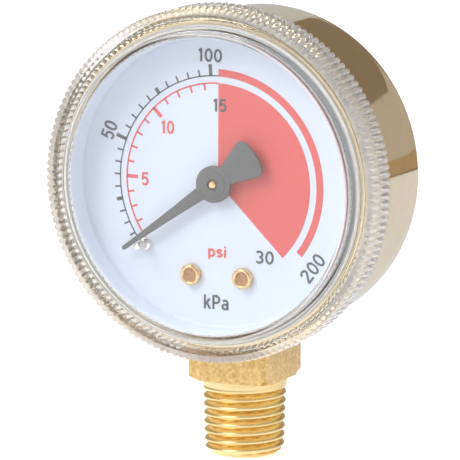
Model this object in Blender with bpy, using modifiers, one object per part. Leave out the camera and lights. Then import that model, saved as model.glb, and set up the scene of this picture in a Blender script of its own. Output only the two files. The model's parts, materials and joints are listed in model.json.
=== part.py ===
"""A small Bourdon-tube pressure gauge: brass case, screw-on clear lens, lower pipe-thread stem.

Metres, +Z up. The origin is the centre of the stem's end face and the dial faces -Y.
Depths in front of the stem axis are called "front": front = -y.
"""

import math

import bmesh
import bpy
from mathutils import Vector

MM = 0.001

# Driving dimensions, in millimetres
DIAL_Z = 46.0
CASE_R, CASE_WALL, CASE_FRONT, CASE_BACK, BACK_ROUND = 26.0, 0.6, 12.4, -10.0, 1.75
LIP_R, LIP_HIGH = 24.95, 0.9
LENS_R, WINDOW_R, SKIRT_BORE, LENS_FRONT, LENS_BACK = 28.5, 25.0, 27.2, 17.0, 8.0
KNURL_TEETH, KNURL_TIP, KNURL_VALLEY = 150, 28.9, 28.4
RIDGE_LEAD, RIDGE_TURNS = 2.0, 1.5
SQUARE, NECK, BLOCK_LOW, BLOCK_HIGH = 14.0, 13.4, 12.4, 20.6
PIPE_R, PIPE_PITCH, PIPE_DEPTH, PIPE_TAPER = 6.858, 1.411, 0.95, 1 / 32
BORE_R, BORE_TOP, PASSAGE_R = 2.05, 6.0, 1.2
DIAL_R, DIAL_FRONT, DIAL_THICK = 24.15, 10.2, 0.5
DIAL_RIM, DIAL_RIM_FRONT = 0.4, 14.95
DIAL_SCREW_X, DIAL_SCREW_Z = 4.57, 30.8
CASE_SCREW_X, CASE_SCREW_Z = 4.0, 24.4
MOVEMENT_SCREW_X, MOVEMENT_SCREW_Z = 4.6, 25.6
RELIEF_Z, RELIEF_R = 53.0, 3.0
POINTER_REST = 216.0
POINTER_LOW, POINTER_HIGH, POINTER_LENGTH, TAIL_R = 11.9, 12.3, 19.8, 9.0
STOP_R, STOP_ANGLE = 16.8, 220.4
ARBOR_R, PIVOT_R, PIVOT_GAP = 0.65, 0.5, 0.08
MODULE, PINION_TEETH, SECTOR_RATIO = 0.25, 10, 10
SECTOR_X, SECTOR_Z = 6.5, 33.88
MESH_ANGLE = 118.2
TAIL_LENGTH, TAIL_ANGLE = 6.2, -25.0
TIP_EAR = (14.2, 37.5)
TUBE_R, TUBE_WIDTH, TUBE_THICK, TUBE_WALL, TUBE_MID = 18.0, 7.0, 2.2, 0.25, -3.0
TUBE_START, TUBE_END = 249.0, -25.0
BACK_PLATE, FRONT_PLATE = (1.5, 2.3), (6.6, 7.4)
PILLARS = ((-7.2, 41.0), (7.5, 51.0), (0.0, 30.6))

BRASS, DARK_BRASS = (0.80, 0.60, 0.28), (0.62, 0.45, 0.20)
STEEL, RUBBER = (0.62, 0.62, 0.64), (0.05, 0.05, 0.05)


def clear_scene():
    for item in list(bpy.data.objects):
        bpy.data.objects.remove(item, do_unlink=True)


def collection(name):
    made = bpy.data.collections.new(name)
    bpy.context.scene.collection.children.link(made)
    return made


clear_scene()
PARTS = collection("pressure_gauge")
CUTTERS = collection("cutters")


def material(name, colour, metallic, roughness, alpha=1.0):
    made = bpy.data.materials.new(name)
    made.use_nodes = True
    shader = made.node_tree.nodes["Principled BSDF"]
    shader.inputs["Base Color"].default_value = (*colour, 1)
    shader.inputs["Metallic"].default_value = metallic
    shader.inputs["Roughness"].default_value = roughness
    shader.inputs["Alpha"].default_value = alpha
    return made


def add_mesh(name, mesh, into=None):
    made = bpy.data.objects.new(name, mesh)
    (into or PARTS).objects.link(made)
    return made


def mesh_from(name, build):
    """A mesh from a function that fills a bmesh, scaled from millimetres to metres."""
    shape = bmesh.new()
    build(shape)
    bmesh.ops.scale(shape, vec=(MM, MM, MM), verts=shape.verts)
    mesh = bpy.data.meshes.new(name)
    shape.to_mesh(mesh)
    shape.free()
    return mesh


def face_front(item, x=0.0, z=DIAL_Z):
    """Turns local +Z to face the front, with local +Y still up, about the point (x, z)."""
    item.rotation_euler = (math.pi / 2, 0, 0)
    item.location = (x * MM, 0, z * MM)
    return item


def box(name, low, high, into=None):
    def build(shape):
        bmesh.ops.create_cube(shape, size=1)
        size = [b - a for a, b in zip(low, high)]
        middle = [(a + b) / 2 for a, b in zip(low, high)]
        bmesh.ops.scale(shape, vec=size, verts=shape.verts)
        bmesh.ops.translate(shape, vec=middle, verts=shape.verts)
    return add_mesh(name, mesh_from(name, build), into)


def turned(name, profile, steps=48, into=None, sweep=360.0, lead=0.0):
    """A profile of (radius, height) points, top to bottom down its outer side, turned about local Z."""
    def build(shape):
        points = [shape.verts.new((radius, 0, height)) for radius, height in profile]
        for first, second in zip(points, points[1:]):
            shape.edges.new((first, second))
        if lead or sweep != 360.0:
            shape.edges.new((points[-1], points[0]))
    made = add_mesh(name, mesh_from(name, build), into)
    screw = made.modifiers.new("Turn", "SCREW")
    screw.angle = math.radians(sweep)
    screw.steps = screw.render_steps = steps
    screw.screw_offset = lead * MM * sweep / 360
    screw.use_merge_vertices = sweep == 360.0 and not lead
    screw.merge_threshold = 1e-6
    screw.use_smooth_shade = True
    return made


def rod(name, radius, low, high, steps=24, into=None):
    return turned(name, [(0, high), (radius, high), (radius, low), (0, low)], steps, into)


def tube(name, outer, inner, low, high, steps=24, into=None):
    profile = [(outer, high), (outer, low), (inner, low), (inner, high), (outer, high)]
    return turned(name, profile, steps, into)


def outline_plate(name, outlines, low, high, into=None):
    """Flat plate: closed outlines of (x, y) points, the later ones as holes, between two heights."""
    curve = bpy.data.curves.new(name, "CURVE")
    curve.dimensions = "2D"
    curve.fill_mode = "BOTH"
    curve.extrude = (high - low) / 2 * MM
    for outline in outlines:
        spline = curve.splines.new("POLY")
        spline.points.add(len(outline) - 1)
        for point, (x, y) in zip(spline.points, outline):
            point.co = (x * MM, y * MM, 0, 1)
        spline.use_cyclic_u = True
    drawn = add_mesh(name + "_outline", curve, CUTTERS)
    bpy.context.view_layer.update()
    mesh = bpy.data.meshes.new_from_object(drawn.evaluated_get(bpy.context.evaluated_depsgraph_get()))
    bpy.data.objects.remove(drawn)
    shape = bmesh.new()
    shape.from_mesh(mesh)
    bmesh.ops.remove_doubles(shape, verts=shape.verts, dist=1e-7)
    bmesh.ops.translate(shape, vec=(0, 0, (high + low) / 2 * MM), verts=shape.verts)
    shape.to_mesh(mesh)
    shape.free()
    mesh.name = name
    return add_mesh(name, mesh, into)


def circle(x, y, radius, steps=20):
    turns = [2 * math.pi * step / steps for step in range(steps)]
    return [(x + radius * math.cos(turn), y + radius * math.sin(turn)) for turn in turns]


def polar(angle, radius, x=0.0, y=0.0):
    turn = math.radians(angle)
    return (x + radius * math.cos(turn), y + radius * math.sin(turn))


def arc(start, end, radius, count, x=0.0, y=0.0):
    return [polar(start + (end - start) * step / (count - 1), radius, x, y) for step in range(count)]


def combine(target, other, operation):
    modifier = target.modifiers.new(operation.title(), "BOOLEAN")
    modifier.operation = operation
    modifier.solver = "EXACT"
    modifier.object = other
    other.hide_render = True
    other.display_type = "WIRE"
    return target


def cut(target, cutter):
    return combine(target, cutter, "DIFFERENCE")


def join(target, addition):
    return combine(target, addition, "UNION")


def finish(item, colour, metallic=1.0, roughness=0.3, alpha=1.0):
    """Gives a part its own material."""
    made = material(item.name, colour, metallic, roughness, alpha)
    item.data.materials.clear()
    item.data.materials.append(made)
    return item


# A helical ridge on a turned part

def ridge(name, root, crest, half_width, crest_half, low, turns, lead, steps, taper=0.0, top=0.0):
    """A helical ridge that sinks into its wall at both ends; taper leans it in below the height top."""
    bite = root - math.copysign(0.25, crest - root)
    section = [(bite, half_width), (crest, crest_half), (crest, -crest_half), (bite, -half_width)]
    rings = []

    def build(shape):
        for step in range(int(steps * turns) + 1):
            share = step / steps
            fade = min(1.0, min(share, turns - share) / 0.3)
            turn = 2 * math.pi * share + 0.031
            ring = []
            for radius, height in section:
                level = low + lead * share + height * (0.4 + 0.6 * fade)
                here = bite + (radius - bite) * (0.3 + 0.7 * fade) - taper * (top - level)
                ring.append(shape.verts.new((here * math.cos(turn), here * math.sin(turn), level)))
            rings.append(ring)
        for first, second in zip(rings, rings[1:]):
            for index in range(len(section)):
                after = (index + 1) % len(section)
                shape.faces.new((first[index], first[after], second[after], second[index]))
        shape.faces.new(rings[0])
        shape.faces.new(rings[-1])
        bmesh.ops.recalc_face_normals(shape, faces=shape.faces)
    return add_mesh(name, mesh_from(name, build), CUTTERS)


# Socket: threaded stem, wrench square and head in one piece

def make_socket():
    root = PIPE_R - PIPE_DEPTH

    def wall(height, depth=PIPE_DEPTH):
        return PIPE_R - depth - PIPE_TAPER * (BLOCK_LOW - height)
    socket = turned("socket", [(0, BLOCK_LOW + 1), (PIPE_R, BLOCK_LOW + 1), (PIPE_R, BLOCK_LOW - 1.6),
                               (wall(10.3), BLOCK_LOW - 2.1), (wall(0.7), 0.7),
                                (wall(0) - 0.55, 0), (0, 0)], 32)
    join(socket, ridge("pipe_thread", root, PIPE_R, 0.68, 0.09, 0.95, 7.0, PIPE_PITCH, 24,
                       PIPE_TAPER, BLOCK_LOW))
    half = SQUARE / 2
    block = box("square", (-half, -half, BLOCK_LOW), (half, half, BLOCK_HIGH), CUTTERS)
    chamfer = turned("square_corners", [(0, 24), (12, 24), (12, BLOCK_LOW + 1.9),
                                        (8.7, BLOCK_LOW), (0, BLOCK_LOW)], 32, CUTTERS)
    combine(block, chamfer, "INTERSECT")
    join(socket, block)
    half = NECK / 2
    join(socket, box("neck", (-half, -half, BLOCK_HIGH - 1), (half, half, 23.0), CUTTERS))
    join(socket, box("head", (-half, -1.4, 22.5), (half, 9.1, 34.0), CUTTERS))
    bore = [(0, 28.9), (PASSAGE_R, 28.9), (PASSAGE_R, BORE_TOP), (BORE_R, BORE_TOP), (BORE_R, -1), (0, -1)]
    cut(socket, turned("stem_bore", bore, 28, CUTTERS))
    side = rod("side_passage", 0.9, 0, 5.2, 16, CUTTERS)
    side.rotation_euler = (0, -math.pi / 2, 0)
    side.location = (0, 0, 27.9 * MM)
    cut(socket, side)
    inside, outside = arc(217, 253, TUBE_R - 1.4, 8), arc(253, 217, TUBE_R + 1.4, 8)
    low, high = TUBE_MID - 3.8, TUBE_MID + 3.8
    slot = face_front(outline_plate("tube_slot", [inside + outside], low, high, CUTTERS))
    cut(socket, slot)
    for side_of in (-1, 1):
        hole = rod("movement_screw_hole", 1.1, -1.6, 3, 20, CUTTERS)
        cut(socket, face_front(hole, side_of * MOVEMENT_SCREW_X, MOVEMENT_SCREW_Z))
        hole = rod("case_screw_hole", 1.15, -10, -3.2, 20, CUTTERS)
        cut(socket, face_front(hole, side_of * CASE_SCREW_X, CASE_SCREW_Z))
    return finish(socket, BRASS)


def make_restrictor():
    screw = tube("restrictor_screw", 1.8, 0.4, 1.0, 5.0, 24)
    cut(screw, box("restrictor_slot", (-2.5, -0.3, 0), (2.5, 0.3, 1.6), CUTTERS))
    return finish(screw, DARK_BRASS)


# Case, its screws and the relief plug

def rounded_corner(radius, height, fillet, count=5):
    """Points from the side of a cup's outer back corner round to its back."""
    return [(radius - fillet + fillet * math.cos(turn), height + fillet - fillet * math.sin(turn))
            for turn in (math.pi / 2 * step / (count - 1) for step in range(count))]


def make_case():
    inner = CASE_R - CASE_WALL
    outside = rounded_corner(CASE_R, CASE_BACK, BACK_ROUND)
    inside = rounded_corner(inner, CASE_BACK + CASE_WALL, BACK_ROUND - CASE_WALL)
    profile = [(LIP_R, CASE_FRONT), (CASE_R, CASE_FRONT), *outside, (0, CASE_BACK),
               (0, CASE_BACK + CASE_WALL), *reversed(inside), (inner, CASE_FRONT - LIP_HIGH),
               (LIP_R, CASE_FRONT - LIP_HIGH), (LIP_R, CASE_FRONT)]
    case = face_front(turned("case", profile, 64))
    start = CASE_FRONT - 0.5 - RIDGE_LEAD * RIDGE_TURNS
    thread = ridge("case_thread", CASE_R, 26.9, 0.35, 0.2, start, RIDGE_TURNS, RIDGE_LEAD, 36)
    join(case, face_front(thread))
    opening = NECK / 2 + 0.3
    cut(case, box("stem_opening", (-opening, -opening, 15), (opening, opening, 30), CUTTERS))
    for side in (-1, 1):
        hole = rod("screw_hole", 1.15, -12, -8, 20, CUTTERS)
        cut(case, face_front(hole, side * CASE_SCREW_X, CASE_SCREW_Z))
    cut(case, face_front(rod("relief_hole", RELIEF_R, -12, -8, 24, CUTTERS), 0, RELIEF_Z))
    return finish(case, BRASS, roughness=0.12)


def pan_screw(name, x, z, seat, head_r, head_high, shank_r, shank_length, facing=1):
    """A slotted pan-head screw; facing 1 points its head to the front and -1 to the back."""
    def up(value):
        return value * facing
    top, bottom = seat + head_high, seat - shank_length
    profile = [(0, up(top)), (head_r - 0.3, up(top)), (head_r, up(top - 0.35)), (head_r, up(seat)),
               (shank_r, up(seat)), (shank_r, up(bottom)), (0, up(bottom))]
    screw = turned(name, profile if facing > 0 else list(reversed(profile)), 20)
    top = sorted((up(seat + head_high - 0.35), up(seat + head_high + 1)))
    slot = box(name + "_slot", (-head_r - 1, -0.2, top[0]), (head_r + 1, 0.2, top[1]), CUTTERS)
    face_front(slot, x, z)
    cut(face_front(screw, x, z), slot)
    return finish(screw, STEEL)


def make_case_screws():
    for side, x in (("left", -CASE_SCREW_X), ("right", CASE_SCREW_X)):
        pan_screw("case_screw_" + side, x, CASE_SCREW_Z, -CASE_BACK + 0.15, 1.8, 1.0, 0.9, 6.0, facing=-1)


def make_relief_plug():
    profile = [(0, -8.3), (3.3, -8.5), (3.3, -9.15), (2.75, -9.15), (2.75, -10.2),
               (4.2, -10.2), (4.2, -10.6), (3.6, -11.1), (0, -11.1)]
    return finish(face_front(turned("relief_plug", profile, 24), 0, RELIEF_Z), RUBBER, 0, 0.6)


# Lens: one clear moulding with a knurled screw rim, and the flat seal behind it

def make_lens():
    profile = [(0, LENS_FRONT), (WINDOW_R - 0.6, LENS_FRONT), (WINDOW_R, LENS_FRONT - 0.6), (WINDOW_R, 15.0),
               (LENS_R - 0.3, 15.0), (LENS_R, 14.7), (LENS_R, LENS_BACK), (SKIRT_BORE, LENS_BACK),
               (SKIRT_BORE, 13.4), (24.3, 13.4), (24.3, 15.2), (0, 15.2)]
    lens = face_front(turned("lens", profile, 75))
    teeth = []
    for tooth in range(KNURL_TEETH):
        angle = 360 * tooth / KNURL_TEETH
        teeth.append(polar(angle, KNURL_VALLEY))
        teeth.append(polar(angle + 180 / KNURL_TEETH, KNURL_TIP))
    knurl = outline_plate("knurl", [teeth, circle(0, 0, 27.8, 50)], LENS_BACK + 0.25, 14.4, CUTTERS)
    join(lens, face_front(knurl))
    start = CASE_FRONT - 0.5 - RIDGE_LEAD * RIDGE_TURNS - RIDGE_LEAD / 2
    thread = ridge("lens_thread", SKIRT_BORE, 26.35, 0.35, 0.2, start, RIDGE_TURNS, RIDGE_LEAD, 36)
    join(lens, face_front(thread))
    return finish(lens, (0.93, 0.94, 0.95), 0, 0.08, 0.35)


def make_gasket():
    ring = tube("lens_gasket", CASE_R, CASE_R - 0.8, CASE_FRONT + 0.15, 13.25, 48)
    return finish(face_front(ring), (0.75, 0.75, 0.72), 0, 0.5)


# Dial, its screws and posts, and the stop pin

def make_dial():
    holes = [circle(0, 0, 1.8, 24), circle(*polar(STOP_ANGLE, STOP_R), 0.9)]
    holes += [circle(side * DIAL_SCREW_X, DIAL_SCREW_Z - DIAL_Z, 1.0) for side in (-1, 1)]
    plate_r = DIAL_R - DIAL_RIM / 2
    dial = face_front(outline_plate("dial", [circle(0, 0, plate_r, 72), *holes],
                                    DIAL_FRONT - DIAL_THICK, DIAL_FRONT))
    rim = tube("dial_rim", DIAL_R, DIAL_R - DIAL_RIM, DIAL_FRONT - 0.4, DIAL_RIM_FRONT, 72, CUTTERS)
    join(dial, face_front(rim))
    return finish(dial, (0.90, 0.92, 0.95), 0, 0.45)


def make_dial_fixings():
    seat = DIAL_FRONT + 0.15
    for side, x in (("left", -DIAL_SCREW_X), ("right", DIAL_SCREW_X)):
        head = outline_plate("dial_screw_" + side, [circle(0, 0, 1.9, 6)], seat, seat + 1.0)
        face_front(head, x, DIAL_SCREW_Z)
        cut(head, face_front(rod("head_recess", 1.0, seat + 0.75, seat + 2, 16, CUTTERS), x, DIAL_SCREW_Z))
        join(head, face_front(rod("screw_shank", 0.7, 7.9, seat + 0.4, 16, CUTTERS), x, DIAL_SCREW_Z))
        finish(head, BRASS)
        post = tube("dial_post_" + side, 1.7, 1.0, FRONT_PLATE[1] + 0.15, DIAL_FRONT - DIAL_THICK - 0.15, 20)
        finish(face_front(post, x, DIAL_SCREW_Z), BRASS)


def make_stop_pin():
    x, z = polar(STOP_ANGLE, STOP_R, 0, DIAL_Z)
    profile = [(0, 13.6), (0.4, 13.6), (0.6, 13.4), (0.6, 10.9), (1.05, 10.75), (1.05, DIAL_FRONT + 0.15),
               (0.6, DIAL_FRONT + 0.15), (0.6, 9.2), (0, 9.2)]
    return finish(face_front(turned("stop_pin", profile, 16), x, z), (0.85, 0.85, 0.83))


# Pointer and the rest of its shaft

def make_pointer():
    heading = POINTER_REST
    rows = [(3.0, 1.1), (7.7, 0.82), (17.0, 0.39), (19.4, 0.37)]
    along = Vector(polar(heading, 1))
    across = Vector((-along.y, along.x))
    left = [along * reach + across * half for reach, half in rows]
    right = [along * reach - across * half for reach, half in reversed(rows)]
    tip = [along * POINTER_LENGTH]
    needle_base = [along * 0 - across * 1.1, along * 0 + across * 1.1]
    needle = [tuple(point) for point in [*needle_base, *left, *tip, *right]]
    opposite = heading - 180
    tail = [polar(opposite, 0.5), *arc(opposite - 22, opposite + 22, TAIL_R, 8)]
    pointer = outline_plate("pointer", [needle], POINTER_LOW, POINTER_HIGH)
    face_front(pointer)
    fan = outline_plate("tail_fan", [tail], POINTER_LOW + 0.001, POINTER_HIGH - 0.001, CUTTERS)
    join(pointer, face_front(fan))
    hub = turned("hub", [(0, 12.7), (2.0, 12.7), (2.25, 12.45), (2.8, 12.45), (3.0, 12.25), (3.0, 11.3),
                         (0, 11.3)],
                 32, CUTTERS)
    join(pointer, face_front(hub))
    cut(pointer, face_front(rod("hub_bore", ARBOR_R + 0.12, 10, 14, 16, CUTTERS)))
    return finish(pointer, (0.22, 0.22, 0.22), 0.4, 0.4)


def gear_outline(teeth, module, count, first, x=0.0, y=0.0, slack=0.07):
    """Points of count teeth of a gear, the first centred on an angle and the rest turning on from it."""
    pitch_r = teeth * module / 2
    radii = (pitch_r - 1.2 * module, pitch_r, pitch_r + 0.85 * module)
    pitch_angle = 360 / teeth
    halves = []
    for radius, share in zip(radii, (0.34, 0.25, 0.10)):
        halves.append(pitch_angle * share - math.degrees(slack / 2 / radius))
    points = []
    for tooth in range(count):
        middle = first + tooth * pitch_angle
        points += [polar(middle - half, radius, x, y) for radius, half in zip(radii, halves)]
        flank = zip(reversed(radii), reversed(halves))
        points += [polar(middle + half, radius, x, y) for radius, half in flank]
    return points


def make_pinion():
    profile = [(0, 12.82), (0.45, 12.82), (ARBOR_R, 12.6), (ARBOR_R, 2.6), (PIVOT_R, 2.6), (PIVOT_R, 1.6),
               (0, 1.6)]
    arbor = face_front(turned("pinion", profile, 20))
    teeth = gear_outline(PINION_TEETH, MODULE, PINION_TEETH, MESH_ANGLE + 180 + 180 / PINION_TEETH)
    join(arbor, face_front(outline_plate("pinion_teeth", [teeth], 2.9, 4.3, CUTTERS)))
    return finish(arbor, (0.90, 0.72, 0.40))


def make_hairspring():
    finish(face_front(tube("hairspring_collet", 1.4, ARBOR_R + 0.12, 4.9, 5.8, 20)), BRASS)
    turns, inner, outer, per_turn, last = 4.0, 1.7, 5.2, 20, 60.0

    def build(shape):
        points = []
        for step in range(int(turns * per_turn) + 1):
            share = step / (turns * per_turn)
            x, y = polar(last - 360 * turns * (1 - share), inner + (outer - inner) * share)
            points.append(shape.verts.new((x, y, 5.0)))
        edges = [shape.edges.new(pair) for pair in zip(points, points[1:])]
        made = bmesh.ops.extrude_edge_only(shape, edges=edges)["geom"]
        raised = [item for item in made if isinstance(item, bmesh.types.BMVert)]
        bmesh.ops.translate(shape, vec=(0, 0, 0.6), verts=raised)
    spring = face_front(add_mesh("hairspring", mesh_from("hairspring", build)))
    wall = spring.modifiers.new("Strip", "SOLIDIFY")
    wall.thickness = 0.15 * MM
    wall.offset = 0
    finish(spring, (0.70, 0.55, 0.30))
    x, z = polar(last + 1, 6.0, 0, DIAL_Z)
    return finish(face_front(rod("hairspring_stud", 0.5, BACK_PLATE[1] + 0.15, 6.3, 12), x, z), BRASS)


# Movement: plates, pillars, screws, sector gear and link

def plate_outline(points, radius):
    """The outline round equal circles at the corners of a convex polygon, given anticlockwise."""
    outline = []
    for index, (x, y) in enumerate(points):
        before, after = points[index - 1], points[(index + 1) % len(points)]
        leave = [math.degrees(math.atan2(b[1] - a[1], b[0] - a[0])) - 90
                 for a, b in ((before, (x, y)), ((x, y), after))]
        span = (leave[1] - leave[0]) % 360
        outline += arc(leave[0], leave[0] + span, radius, 5, x, y)
    return outline


def from_dial(x, z):
    return (x, z - DIAL_Z)


def make_plates():
    pillars = [from_dial(*place) for place in PILLARS]
    sector = from_dial(SECTOR_X, SECTOR_Z)
    pivots = [circle(0, 0, PIVOT_R + PIVOT_GAP, 20), circle(*sector, PIVOT_R + PIVOT_GAP, 20)]
    corners = [from_dial(-5.2, 25.6), from_dial(5.2, 25.6), (sector[0] + 0.6, sector[1]), pillars[1],
               pillars[0]]
    screws = [circle(side * MOVEMENT_SCREW_X, MOVEMENT_SCREW_Z - DIAL_Z, 1.1) for side in (-1, 1)]
    back = outline_plate("movement_back_plate", [plate_outline(corners, 1.8), *pivots, *screws], *BACK_PLATE)
    finish(face_front(back), BRASS)
    corners = [from_dial(-DIAL_SCREW_X, DIAL_SCREW_Z), from_dial(DIAL_SCREW_X, DIAL_SCREW_Z),
               (sector[0] + 0.6, sector[1]), pillars[1], pillars[0]]
    wide = [circle(0, 0, ARBOR_R + PIVOT_GAP, 20), circle(*sector, PIVOT_R + PIVOT_GAP, 20)]
    holes = [circle(*place, 0.85, 16) for place in pillars]
    front = outline_plate("movement_front_plate", [plate_outline(corners, 1.8), *wide, *holes], *FRONT_PLATE)
    finish(face_front(front), BRASS)
    for number, (x, z) in enumerate(PILLARS, 1):
        post = tube(f"plate_pillar_{number}", 1.3, 0.85, BACK_PLATE[1] + 0.15, FRONT_PLATE[0] - 0.15, 16)
        finish(face_front(post, x, z), BRASS)
        pan_screw(f"plate_screw_{number}", x, z, FRONT_PLATE[1] + 0.15, 1.3, 0.8, 0.6, 3.2)
    for side, x in (("left", -MOVEMENT_SCREW_X), ("right", MOVEMENT_SCREW_X)):
        pan_screw("movement_screw_" + side, x, MOVEMENT_SCREW_Z, BACK_PLATE[1] + 0.15, 1.7, 0.9, 0.8, 3.4)


def sector_tail():
    return polar(TAIL_ANGLE, TAIL_LENGTH, SECTOR_X, SECTOR_Z)


def make_sector():
    teeth, spacing = PINION_TEETH * SECTOR_RATIO, 360 / (PINION_TEETH * SECTOR_RATIO)
    first = MESH_ANGLE - 9 * spacing
    toothed = gear_outline(teeth, MODULE, 11, first)
    last = first + 10 * spacing
    rim = teeth * MODULE / 2 - 1.8
    tail_end = arc(TAIL_ANGLE - 75, TAIL_ANGLE + 75, 1.2, 7, *polar(TAIL_ANGLE, TAIL_LENGTH))
    web = [polar(last + 1.2, rim + 0.8), *arc(last, last - 6, rim, 3), polar(126, 2.0),
           *arc(126, 315, 1.7, 7), *tail_end, *arc(0, 70, 1.7, 4),
           polar(84, 2.0), *arc(first + 6, first, rim, 3), polar(first - 1.2, rim + 0.8)]
    holes = [circle(0, 0, 0.92, 20), circle(*polar(TAIL_ANGLE, TAIL_LENGTH), 0.66, 16)]
    sector = outline_plate("sector_gear", [toothed + web, *holes], 3.1, 3.9)
    finish(face_front(sector, SECTOR_X, SECTOR_Z), BRASS)
    profile = [(0, 7.6), (PIVOT_R, 7.6), (PIVOT_R, 6.3), (0.8, 6.3), (0.8, 2.6), (PIVOT_R, 2.6),
               (PIVOT_R, 1.6), (0, 1.6)]
    finish(face_front(turned("sector_arbor", profile, 20), SECTOR_X, SECTOR_Z), BRASS)
    x, z = sector_tail()
    profile = [(0, 5.3), (0.9, 5.3), (0.9, 4.9), (0.54, 4.9), (0.54, 3.0), (0.9, 3.0), (0.9, 2.6), (0, 2.6)]
    return finish(face_front(turned("link_pin_sector", profile, 16), x, z), STEEL)


def make_link():
    tail, ear = Vector(sector_tail()), Vector(TIP_EAR)
    run = ear - tail
    heading = math.degrees(math.atan2(run.y, run.x))
    outline = arc(heading - 90, heading + 90, 1.5, 7, *run) + arc(heading + 90, heading + 270, 1.2, 7)
    link = outline_plate("link", [outline, circle(0, 0, 0.62, 16), circle(*run, 0.95, 16)], 4.1, 4.7)
    return finish(face_front(link, *tail), STEEL)


def make_tube():
    half_thick, half_wide, mid = TUBE_THICK / 2, TUBE_WIDTH / 2, TUBE_MID
    section = []
    for step in range(12):
        turn = -2 * math.pi * step / 12
        side = math.copysign(abs(math.sin(turn)) ** 0.6, math.sin(turn))
        section.append((TUBE_R + half_thick * math.cos(turn), mid + half_wide * side))
    bourdon = turned("bourdon_tube", section, 30, sweep=TUBE_START - TUBE_END)
    bourdon.rotation_euler = (math.pi / 2, -math.radians(TUBE_END), 0)
    bourdon.location = (0, 0, DIAL_Z * MM)
    wall = bourdon.modifiers.new("Wall", "SOLIDIFY")
    wall.thickness = TUBE_WALL * MM
    wall.offset = -1
    return finish(bourdon, (0.78, 0.52, 0.28))


def make_tube_tip():
    x, z = from_dial(*TIP_EAR)
    cap = [polar(TUBE_END - 0.7, 16.6), polar(TUBE_END - 0.7, 19.4), polar(TUBE_END - 4.5, 19.4),
           polar(TUBE_END - 7.5, 18.3), polar(TUBE_END - 7.5, 16.6)]
    tip = face_front(outline_plate("tube_tip", [cap], -6.6, 0.6))
    ear = [*arc(-215, -35, 1.3, 7, x, z), polar(TUBE_END - 4.5, 19.0), polar(TUBE_END - 0.9, 19.0)]
    join(tip, face_front(outline_plate("tip_ear", [ear], 0.2, 3.8, CUTTERS)))
    finish(tip, BRASS)
    profile = [(0, 5.5), (1.4, 5.5), (1.4, 5.0), (0.55, 5.0), (0.55, 3.95), (0, 3.95)]
    return finish(face_front(turned("link_pin_tip", profile, 16), *TIP_EAR), STEEL)


for make in (make_socket, make_restrictor, make_case, make_case_screws, make_relief_plug, make_lens,
             make_gasket, make_dial, make_dial_fixings, make_stop_pin, make_pointer, make_pinion,
             make_hairspring, make_plates, make_sector, make_link, make_tube, make_tube_tip):
    make()
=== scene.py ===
"""Looks for the pressure gauge: brass case, knurled clear lens, printed dial and pipe-thread stem.

Lengths in the tables below are millimetres. A point in front of the stem's axis has a positive "front"
(front = -y), and places on the dial are given as (x, up) from the dial's centre.
"""
import json
import math

import bmesh
import bpy
from mathutils import Matrix, Vector


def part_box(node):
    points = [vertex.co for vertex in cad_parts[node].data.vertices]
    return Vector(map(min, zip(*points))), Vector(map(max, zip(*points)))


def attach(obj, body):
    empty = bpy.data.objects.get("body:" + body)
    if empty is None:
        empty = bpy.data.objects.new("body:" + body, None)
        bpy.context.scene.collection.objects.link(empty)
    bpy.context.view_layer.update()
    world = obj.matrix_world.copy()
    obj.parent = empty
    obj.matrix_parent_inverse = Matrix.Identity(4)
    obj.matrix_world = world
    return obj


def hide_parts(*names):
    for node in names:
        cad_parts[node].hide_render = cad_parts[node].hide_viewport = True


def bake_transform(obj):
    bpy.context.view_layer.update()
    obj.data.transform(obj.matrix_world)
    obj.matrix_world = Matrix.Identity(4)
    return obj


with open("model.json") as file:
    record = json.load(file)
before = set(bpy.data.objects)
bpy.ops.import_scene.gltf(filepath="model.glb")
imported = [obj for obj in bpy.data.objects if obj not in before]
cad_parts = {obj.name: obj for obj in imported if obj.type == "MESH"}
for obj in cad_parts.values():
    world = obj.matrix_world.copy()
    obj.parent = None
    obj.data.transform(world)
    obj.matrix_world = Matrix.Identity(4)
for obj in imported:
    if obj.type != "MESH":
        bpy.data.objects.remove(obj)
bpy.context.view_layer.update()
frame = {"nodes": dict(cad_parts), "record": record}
MM = 0.001


def node_box(node):
    """Lowest and highest corner of a CAD node, in millimetres."""
    low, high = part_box(node)
    return Vector(low) / MM, Vector(high) / MM


# Places worked out from the frame

dial_low, dial_high = node_box("dial")
DIAL_UP = (dial_low.z + dial_high.z) / 2
DIAL_FRONT, DIAL_BACK = 10.2, -dial_high.y
DIAL_R, RIM_FRONT = 24.15, 14.95
case_low, case_high = node_box("case")
CASE_R, CASE_BACK, CASE_FRONT = case_high.z - DIAL_UP, -case_high.y, -case_low.y
lens_low, lens_high = node_box("lens")
LENS_FRONT, LENS_BACK, KNURL_R = -lens_low.y, -lens_high.y, lens_high.z - DIAL_UP
socket_low, socket_high = node_box("socket")
SQUARE, NECK, SOCKET_TOP = socket_high.x, 6.7, socket_high.z
pin_low, pin_high = node_box("stop_pin")


def on_gauge(x, front, up):
    """A point given from the dial's centre, in metres in the row frame."""
    return Vector((x * MM, -front * MM, (DIAL_UP + up) * MM))


def polar(angle, radius):
    turn = math.radians(angle)
    return radius * math.cos(turn), radius * math.sin(turn)


# Materials: each is one Principled shader with nodes for colour, roughness and fine relief

NOISE_LOW, NOISE_HIGH = 0.3, 0.7


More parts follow.
